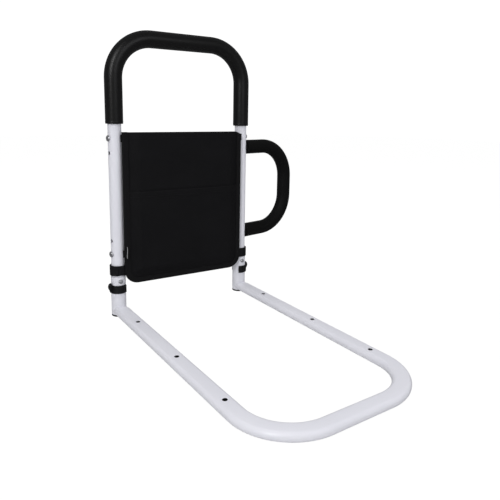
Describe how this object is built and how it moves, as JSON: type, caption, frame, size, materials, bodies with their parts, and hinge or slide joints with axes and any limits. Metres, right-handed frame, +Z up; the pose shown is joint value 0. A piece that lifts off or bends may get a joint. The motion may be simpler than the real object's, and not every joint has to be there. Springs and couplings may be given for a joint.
{
  "type": "bed assist rail",
  "caption": "Bed rail with a U-shaped under-mattress base, an upright grab handle with a foam grip, a side handle and a storage pouch between its posts.",
  "frame": {"origin": "middle of the front bar's flat underside, on the plane halfway between the posts", "axes": "+X across, towards the side handle; +Y from the front bar, under the mattress, back to the posts beside the bed; +Z up"},
  "size_m": [0.4601, 0.5832, 0.5581],
  "materials": {
    "white_paint": "smooth satin powder coat on steel tube",
    "black_foam": "closed-cell foam rubber with a fine satin skin",
    "black_plastic": "moulded, fine matt grain",
    "pouch_fabric": "close plain-weave polyester",
    "black_webbing": "ribbed webbing and grosgrain tape",
    "tag_fabric": "satin-woven blank label",
    "zinc_steel": "bright zinc plate"
  },
  "bodies": {
    "rail": {"base_tube": "white_paint", "grab_handle_grip": "black_foam", "grab_handle_tube": "white_paint", "left_lower_pouch_tab": "black_webbing", "left_lower_tab_bolt": "zinc_steel", "left_lower_tab_nut": "zinc_steel", "left_lower_tab_washer": "zinc_steel", "left_pouch_strap": "black_webbing", "left_snap_spring": "zinc_steel", "left_socket_clip": "black_plastic", "left_socket_plug": "black_plastic", "left_socket_tube": "white_paint", "left_upper_pouch_tab": "black_webbing", "left_upper_tab_bolt": "zinc_steel", "left_upper_tab_nut": "zinc_steel", "left_upper_tab_washer": "zinc_steel", "pouch_back_panel": "pouch_fabric", "pouch_binding": "black_webbing", "pouch_front_panel": "pouch_fabric", "pouch_pocket_panel": "pouch_fabric", "pouch_tag": "tag_fabric", "right_pouch_strap": "black_webbing", "right_snap_spring": "zinc_steel", "right_socket_clip": "black_plastic", "right_socket_plug": "black_plastic", "right_socket_tube": "white_paint", "right_upper_pouch_tab": "black_webbing", "right_upper_tab_bolt": "zinc_steel", "right_upper_tab_nut": "zinc_steel", "right_upper_tab_washer": "zinc_steel", "side_handle_grip": "black_foam", "side_handle_lower_bolt": "zinc_steel", "side_handle_lower_insert": "zinc_steel", "side_handle_lower_saddle": "black_plastic", "side_handle_lower_washer": "zinc_steel", "side_handle_tube": "white_paint", "side_handle_upper_bolt": "zinc_steel", "side_handle_upper_insert": "zinc_steel", "side_handle_upper_saddle": "black_plastic", "side_handle_upper_washer": "zinc_steel"},
    "left_button": {"left_snap_button": "zinc_steel"},
    "right_button": {"right_snap_button": "zinc_steel"}
  },
  "joints": [
    {"name": "left_button_press", "type": "slide", "parent": "rail", "child": "left_button", "axis": [0, 1, 0], "range_m": [0, 0.0041], "stiffness_N_per_m": 800, "springref_m": -0.004, "deforming": ["left_snap_spring"]},
    {"name": "right_button_press", "type": "slide", "parent": "rail", "child": "right_button", "axis": [0, 1, 0], "range_m": [0, 0.0041], "stiffness_N_per_m": 800, "springref_m": -0.004, "deforming": ["right_snap_spring"]}
  ]
}
